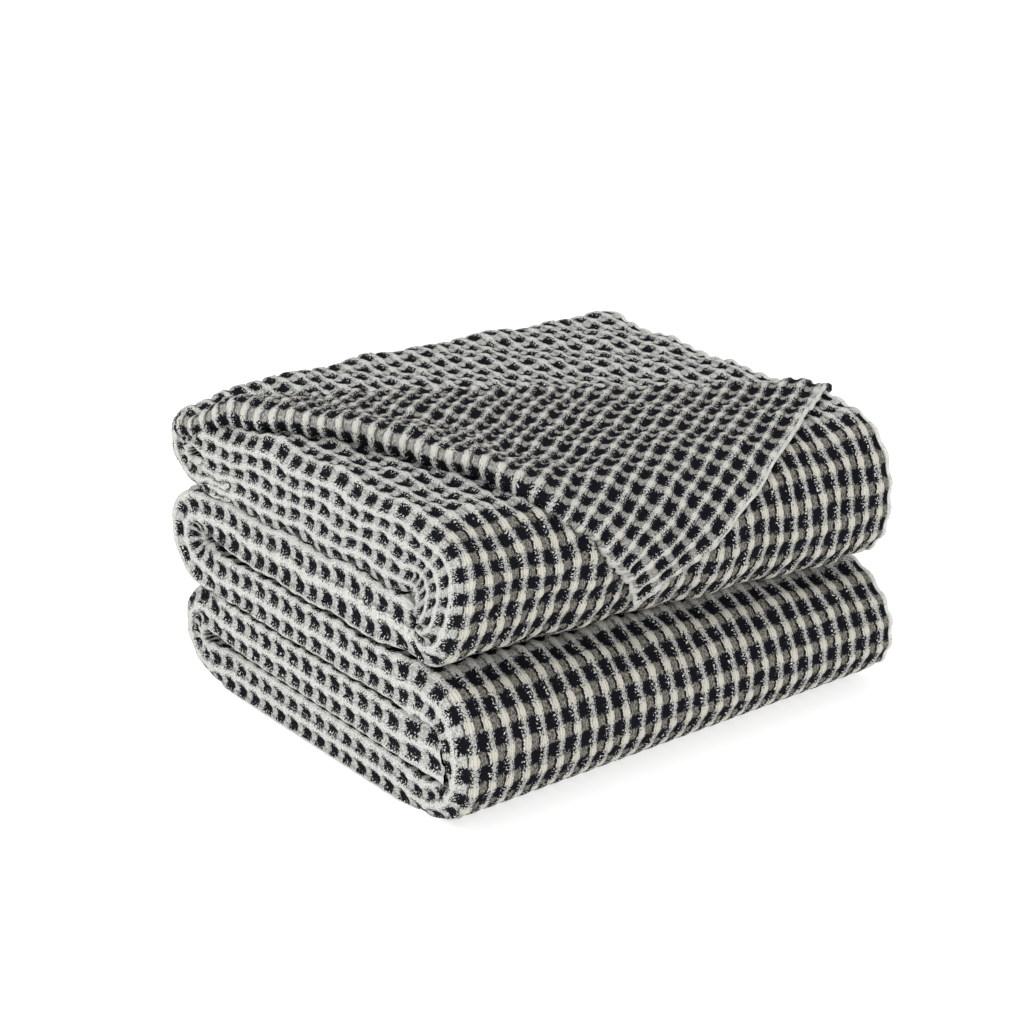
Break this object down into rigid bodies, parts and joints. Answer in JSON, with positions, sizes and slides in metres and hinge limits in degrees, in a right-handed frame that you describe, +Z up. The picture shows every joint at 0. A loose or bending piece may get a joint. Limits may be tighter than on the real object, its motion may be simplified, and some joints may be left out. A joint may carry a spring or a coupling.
{
  "type": "folded waffle weave cotton blanket",
  "caption": "Waffle weave cotton throw folded lengthwise and then back and forth into a thick stack, with one top corner turned back.",
  "frame": {"origin": "centre of the footprint, on the surface the folded blanket rests on", "axes": "+Z up, +X along the front rolls to the side with the hems, +Y from the front rolls to the back loops"},
  "size_m": [0.3236, 0.2944, 0.196],
  "materials": {
    "cotton": "matt waffle weave cotton in black, grey and cream small check"
  },
  "bodies": {
    "root": {"blanket": "cotton"}
  },
  "joints": []
}
